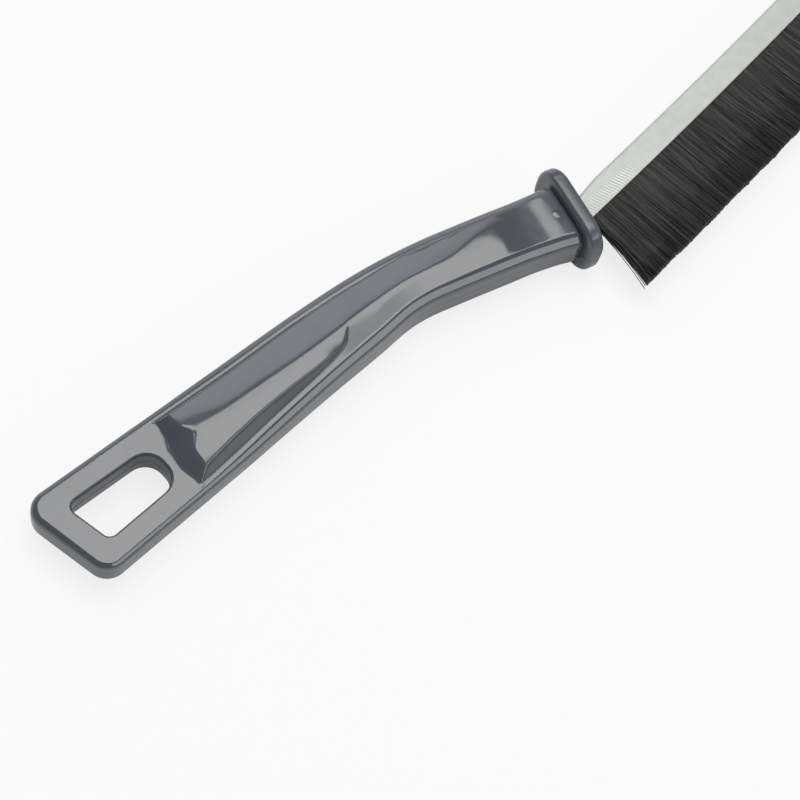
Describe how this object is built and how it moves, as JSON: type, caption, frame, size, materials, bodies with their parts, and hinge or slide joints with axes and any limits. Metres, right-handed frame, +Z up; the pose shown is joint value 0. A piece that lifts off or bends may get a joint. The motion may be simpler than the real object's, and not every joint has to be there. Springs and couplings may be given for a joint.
{
  "type": "grout brush",
  "caption": "Long narrow hand brush for grout and gaps: moulded plastic handle with hanging hole, bent neck and collar, steel channel holding a row of stiff bristles.",
  "frame": {"origin": "under the middle of the brush's outline, at the height of its lowest point as it lies on its side", "axes": "+X along the grip from the butt towards the brush head, +Y to the side away from the bristles, +Z up through the handle's thickness"},
  "size_m": [0.2816, 0.0543, 0.018],
  "materials": {
    "handle_plastic": "glossy moulded grey",
    "pin_plastic": "glossy moulded grey",
    "channel_steel": "bright galvanised, crimped",
    "wire_steel": "drawn wire",
    "bristle_nylon": "satin black filament"
  },
  "bodies": {
    "root": {"handle": "handle_plastic", "retaining_pin": "pin_plastic", "brush_channel": "channel_steel", "core_wire": "wire_steel", "bristles": "bristle_nylon"}
  },
  "joints": []
}
